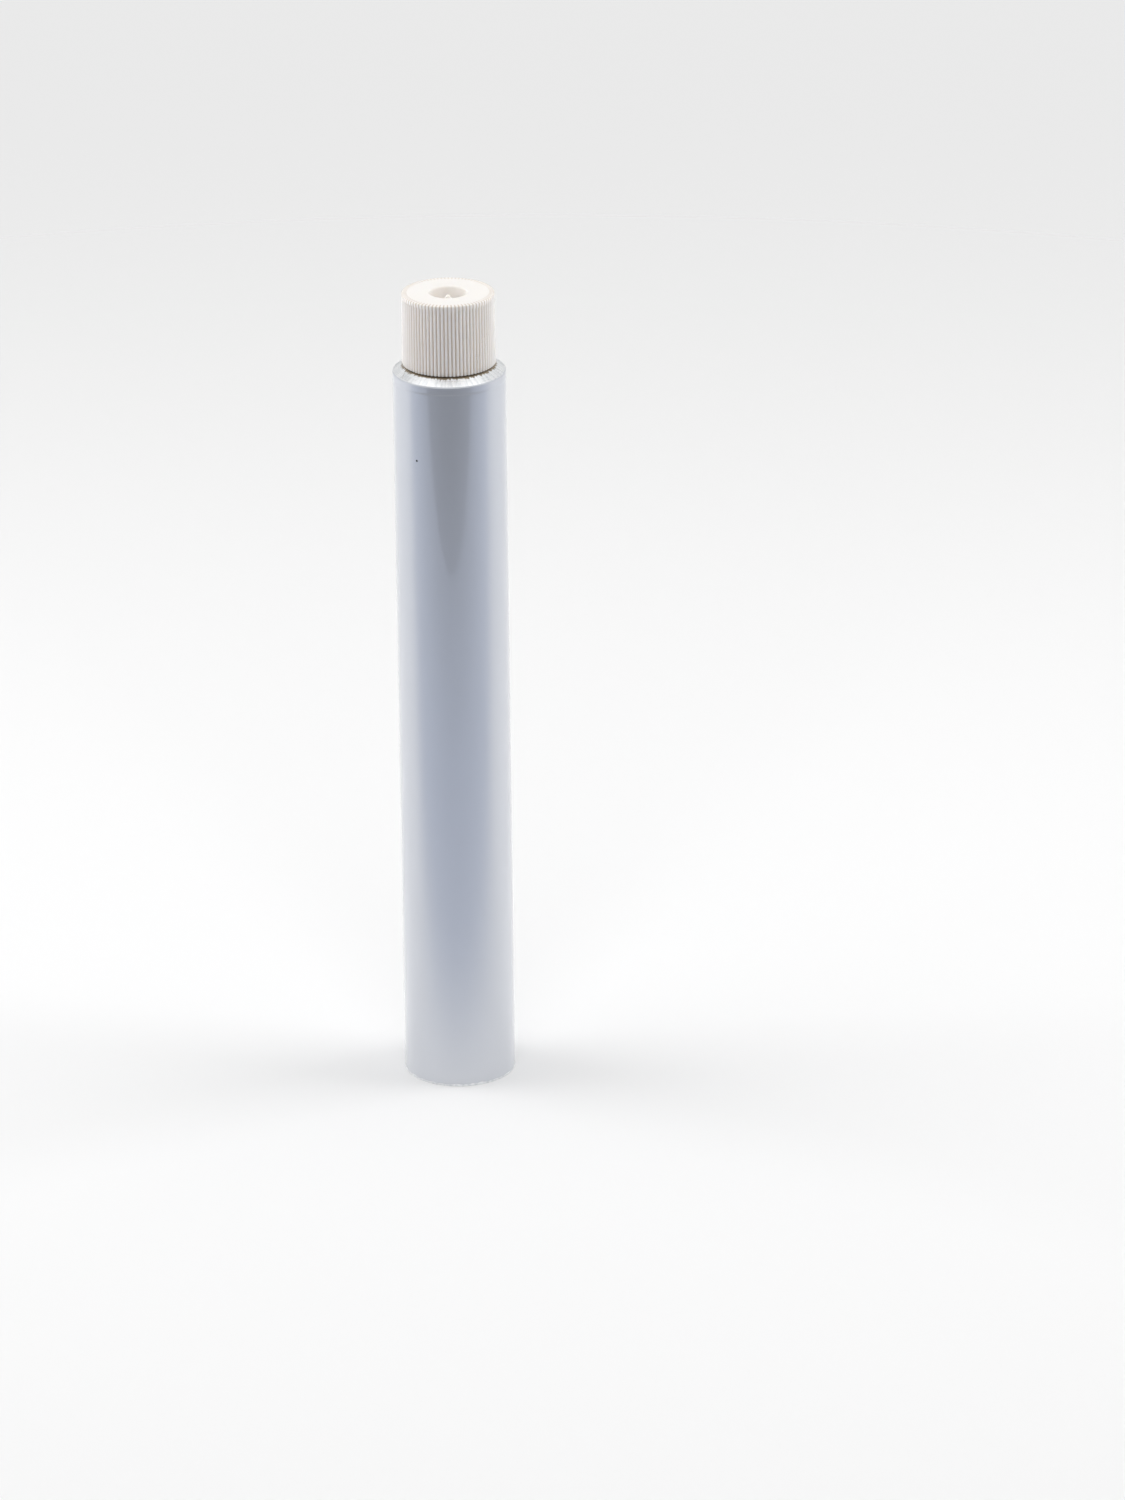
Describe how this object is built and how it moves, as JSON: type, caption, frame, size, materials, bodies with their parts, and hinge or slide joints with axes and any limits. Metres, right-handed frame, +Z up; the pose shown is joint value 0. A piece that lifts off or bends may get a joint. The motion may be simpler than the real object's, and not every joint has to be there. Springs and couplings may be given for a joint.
{
  "type": "ointment tube",
  "caption": "Plain collapsible aluminium ointment tube, open at its base for filling, with a sealed threaded neck and a ribbed screw cap with a piercing spike.",
  "frame": {"origin": "on the tube's axis, in the plane of its open end, which it stands on", "axes": "+Z up along the tube's axis, from the open end to the cap; +X along the width of the cap's spike"},
  "size_m": [0.03, 0.03, 0.2215],
  "materials": {
    "tube_metal": "gloss",
    "seal_compound": "satin",
    "cap_plastic": "satin"
  },
  "bodies": {
    "tube": {"tube": "tube_metal", "end_seal": "seal_compound"},
    "cap": {"cap": "cap_plastic"}
  },
  "joints": [
    {"name": "cap_lift", "type": "slide", "parent": "tube", "child": "cap", "axis": [0, 0, 1], "range_m": [0, 0.025]}
  ]
}
